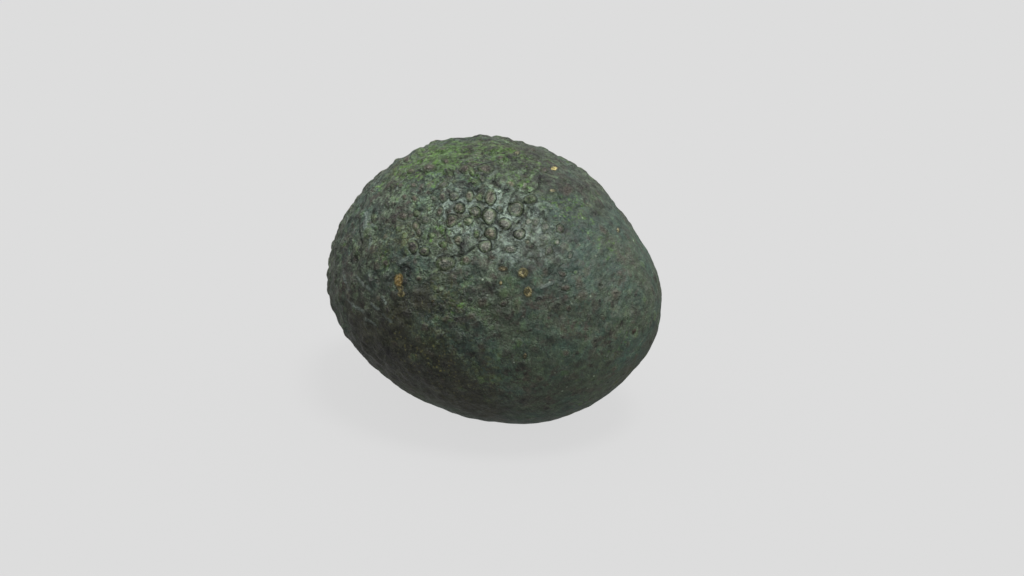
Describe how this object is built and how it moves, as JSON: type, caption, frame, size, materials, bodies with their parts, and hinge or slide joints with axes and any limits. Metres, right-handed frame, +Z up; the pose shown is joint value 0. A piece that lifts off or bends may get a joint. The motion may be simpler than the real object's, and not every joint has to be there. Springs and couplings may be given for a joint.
{
  "type": "avocado",
  "caption": "Whole avocado with a pebbled green rind, slightly pear-shaped, lying on its side on a small flat spot",
  "frame": {"origin": "middle of the flat spot underneath, which the fruit rests on", "axes": "+X from the stem end to the blossom end, +Y across the fruit, +Z up"},
  "size_m": [0.0996, 0.0735, 0.0692],
  "materials": {
    "avocado_rind": "pebbled leathery rind, dull with a soft sheen, mottled green, grey-green and brown"
  },
  "bodies": {
    "root": {"avocado": "avocado_rind"}
  },
  "joints": []
}
